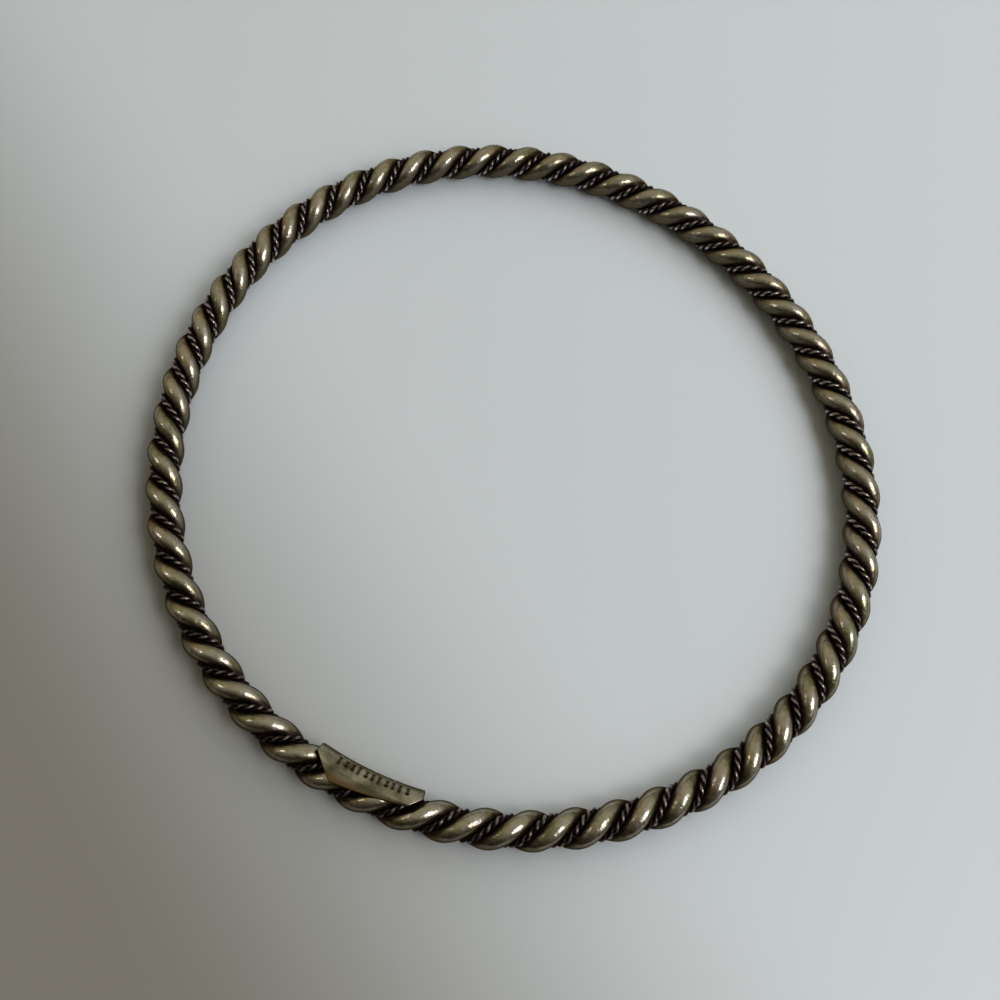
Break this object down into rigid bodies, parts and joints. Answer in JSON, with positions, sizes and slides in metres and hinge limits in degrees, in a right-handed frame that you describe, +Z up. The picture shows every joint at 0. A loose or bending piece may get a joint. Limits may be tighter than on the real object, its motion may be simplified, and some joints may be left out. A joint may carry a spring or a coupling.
{
  "type": "twisted wire bangle",
  "caption": "Closed round bangle of thick round silver wires twisted together, with thin twisted wires in the grooves and a small curved plate over the join, worn round the wrist.",
  "frame": {"origin": "middle of the hoop, on the surface that the bangle lies on", "axes": "+Z up through the wrist opening; the small join plate lies towards -Y"},
  "size_m": [0.0708, 0.0704, 0.0038],
  "materials": {
    "aged_silver": "worn sterling silver with a warm grey-olive tarnish, bright on the crests and dark brown in the recesses",
    "dark_silver": "blackened silver wire, rubbed bright only where it stands proud",
    "plate_silver": "satin filed silver sheet with dark punched marks"
  },
  "bodies": {
    "root": {"heavy_wire_a": "aged_silver", "heavy_wire_b": "aged_silver", "fine_pair_a": "dark_silver", "fine_pair_b": "dark_silver", "join_plate": "plate_silver"}
  },
  "joints": []
}
